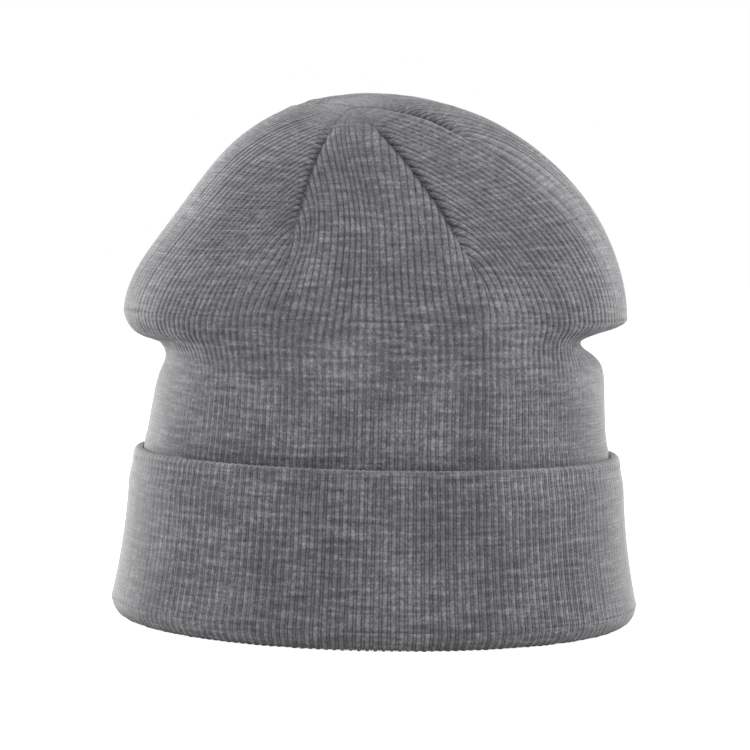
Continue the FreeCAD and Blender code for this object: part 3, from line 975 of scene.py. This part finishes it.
def heather_knit(name, tones):
    """Rib knit of heather yarn, by the knit coordinates: rib number across, course number up; with
    painted shade in the valleys and a painted sheen at the sides.
    """
    material, tree, shader = new_material(name, KNIT_SURFACE)
    knit = source(tree, "ShaderNodeUVMap", "UV", uv_map="Knit")
    rib, course = part(tree, knit, 0), part(tree, knit, 1)
    where = source(tree, "ShaderNodeTexCoord", "Object")
    height = part(tree, where, 2)
    normal = source(tree, "ShaderNodeNewGeometry", "Normal")
    shape = shape_normal(tree, where, height, normal)
    facing = source(tree, "ShaderNodeLayerWeight", "Facing", 0.5, shape)
    # nearness of a dart, where shade is painted into the valleys and the groove
    near_dart = source(tree, "ShaderNodeAttribute", "Fac", attribute_name="Seam")
    from_crest = size_of(tree, calc(tree, "SUBTRACT", calc(tree, "FRACT", rib), 0.5))
    blur = rib_blur(tree, where, shape, facing, near_dart)

    tone, fibre = heather(tree, rib, course, where)
    colour = ramp(tree, tone, zip(TONE_STOPS, (screen(*levels) for levels in tones)))
    # Painted shade in the ribs' valleys, multiplied into the yarn's colour.
    valley = painted_rib_shade(tree, from_crest, height, blur, near_dart)
    colour = mix(tree, "MULTIPLY", 1.0, colour, valley)
    # Pale loose fibres and painted sheen where the knit turns away, weaker over the crown.
    fuzz_and_sheen_share = ranged(tree, height, *FUZZ_AND_SHEEN_HEIGHTS, *FUZZ_AND_SHEEN_COVER)
    fuzz_and_sheen = calc(tree, "MULTIPLY", ramp(tree, facing, FUZZ_AND_SHEEN), fuzz_and_sheen_share)
    colour = mix(tree, "MIX", fuzz_and_sheen, colour, screen(*FUZZ_AND_SHEEN_GREY))
    tree.links.new(colour, shader.inputs["Base Color"])

    leg = calc(tree, "SUBTRACT", course, calc(tree, "MULTIPLY", from_crest, STITCH_SLANT))
    stitch = size_of(tree, calc(tree, "SINE", calc(tree, "MULTIPLY", leg, pi)))
    rise = calc(tree, "MULTIPLY", stitch, STITCH_BUMP)
    rise = calc(tree, "MULTIPLY_ADD", fibre, FIBRE_BUMP, rise)
    bumped = bump(tree, rise, *KNIT_BUMP, laid_normal(tree, normal, shape, blur))
    tree.links.new(bumped, shader.inputs["Normal"])
    return material


def seam_thread(name):
    """Overlock thread laid over a dart's allowance, in turns across it."""
    material, tree, shader = new_material(name, THREAD_SURFACE)
    where = source(tree, "ShaderNodeTexCoord", "Object")
    turns = shade(tree, "ShaderNodeTexWave", where, *THREAD_WAVE, bands_direction="Y")
    stops = [(at, screen(*levels)) for at, levels in THREAD_TONES]
    tree.links.new(ramp(tree, turns, stops), shader.inputs["Base Color"])
    tree.links.new(bump(tree, turns, THREAD_BUMP), shader.inputs["Normal"])
    return material


# ---------------------------------------------------------------- camera, lamps and floor
def add_camera():
    """Camera at the height and distance of the photograph's, a little rolled."""
    data = bpy.data.cameras.new("camera")
    data.sensor_width = 36.0
    data.lens = CAMERA_LENS
    data.clip_end = 20.0
    camera = add_object("camera", data)
    bpy.context.scene.camera = camera
    camera.location = (CAMERA_X, -CAMERA_DISTANCE, CAMERA_HEIGHT)
    tilt = np.arctan2(CAMERA_HEIGHT - CAMERA_AIM, CAMERA_DISTANCE)
    look = mathutils.Euler((pi / 2 - tilt, 0.0, 0.0)).to_matrix()
    roll = mathutils.Matrix.Rotation(CAMERA_ROLL, 3, "Z")
    camera.rotation_euler = (look @ roll).to_euler()


def add_softbox(name, azimuth, elevation, distance, size, power):
    """Square lamp that faces the hat; azimuth 0 is in front, 90 at the picture's right."""
    data = bpy.data.lights.new(name, "AREA")
    data.size = size
    data.energy = power
    lamp = add_object(name, data)
    turn, lift = radians(azimuth), radians(elevation)
    lamp.location = (distance * np.cos(lift) * np.sin(turn),
                     -distance * np.cos(lift) * np.cos(turn),
                     LAMP_AIM + distance * np.sin(lift))
    lamp.rotation_euler = (pi / 2 - lift, 0.0, turn)


def add_floor():
    """Pale floor that reads white in the picture and keeps the hat's shadow."""
    mesh = bpy.data.meshes.new("floor")
    corners = [(x * FLOOR_REACH, y * FLOOR_REACH, CAD_LOW[2])
               for x, y in ((-1, -1), (1, -1), (1, 1), (-1, 1))]
    mesh.from_pydata(corners, [], [(0, 1, 2, 3)])
    floor = add_object("floor", mesh)
    material, tree, shader = new_material("pale_floor", FLOOR_SURFACE)
    shader.inputs["Base Color"].default_value = screen(*FLOOR_GREY)
    glow = tree.nodes.new("ShaderNodeEmission")
    seen = tree.nodes.new("ShaderNodeLightPath")
    strength = calc(tree, "MULTIPLY", seen.outputs["Is Camera Ray"], FLOOR_GLOW)
    tree.links.new(strength, glow.inputs["Strength"])
    total = tree.nodes.new("ShaderNodeAddShader")
    tree.links.new(shader.outputs[0], total.inputs[0])
    tree.links.new(glow.outputs[0], total.inputs[1])
    tree.links.new(total.outputs[0], tree.nodes["Material Output"].inputs["Surface"])
    mesh.materials.append(material)
    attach(floor, "cuff_edge")          # so a cuff that is turned down isn't cut off by the floor


def add_world():
    """Plain soft light, and white where the world itself is seen."""
    world = bpy.data.worlds.new("studio")
    bpy.context.scene.world = world
    world.use_nodes = True
    tree = world.node_tree
    back = tree.nodes["Background"]
    back.inputs["Color"].default_value = (1.0, 1.0, 1.0, 1.0)
    seen = tree.nodes.new("ShaderNodeLightPath")
    straight = calc(tree, "MAXIMUM", seen.outputs["Is Camera Ray"], seen.outputs["Is Glossy Ray"])
    straight = calc(tree, "MAXIMUM", straight, seen.outputs["Is Transmission Ray"])
    strength = calc(tree, "MULTIPLY_ADD", straight, 1.0 - WORLD_LIGHT, WORLD_LIGHT)
    tree.links.new(strength, back.inputs["Strength"])


# ---------------------------------------------------------------- the hat
bpy.context.scene.view_settings.view_transform = "Standard"
add_camera()
add_world()
add_floor()
for lamp in LAMPS:
    add_softbox(*lamp)

face_knit = heather_knit("heather_rib_knit", FACE_TONES)
# the lining: the face's yarn with painted shade inside the hat
lining_knit = heather_knit("heather_rib_lining", SHADED_LINING_TONES)
thread = seam_thread("overlock_thread")

build_cuff(face_knit)
build_wall("wall_knit", MEDIUM, 0.0, 0.0, face_knit, "outer_knit", False)
build_wall("lining_wall_knit", COARSE, LINING_INSIDE, CROWN_LINING_INSIDE, lining_knit,
           "lining_knit", True)
for gore in GORE_LIST:
    build_gore(gore, "crown_gore_" + gore.name, MEDIUM, GORE_ROWS, 0.0,
               face_knit, "outer_knit", False)
    build_gore(gore, "lining_gore_" + gore.name, COARSE, LINING_GORE_ROWS, CROWN_LINING_INSIDE,
               lining_knit, "lining_knit", True)
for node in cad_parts:
    if "seam" in node or node == "crown_tack":
        bpy.data.objects[node].data.materials.clear()
        bpy.data.objects[node].data.materials.append(thread)
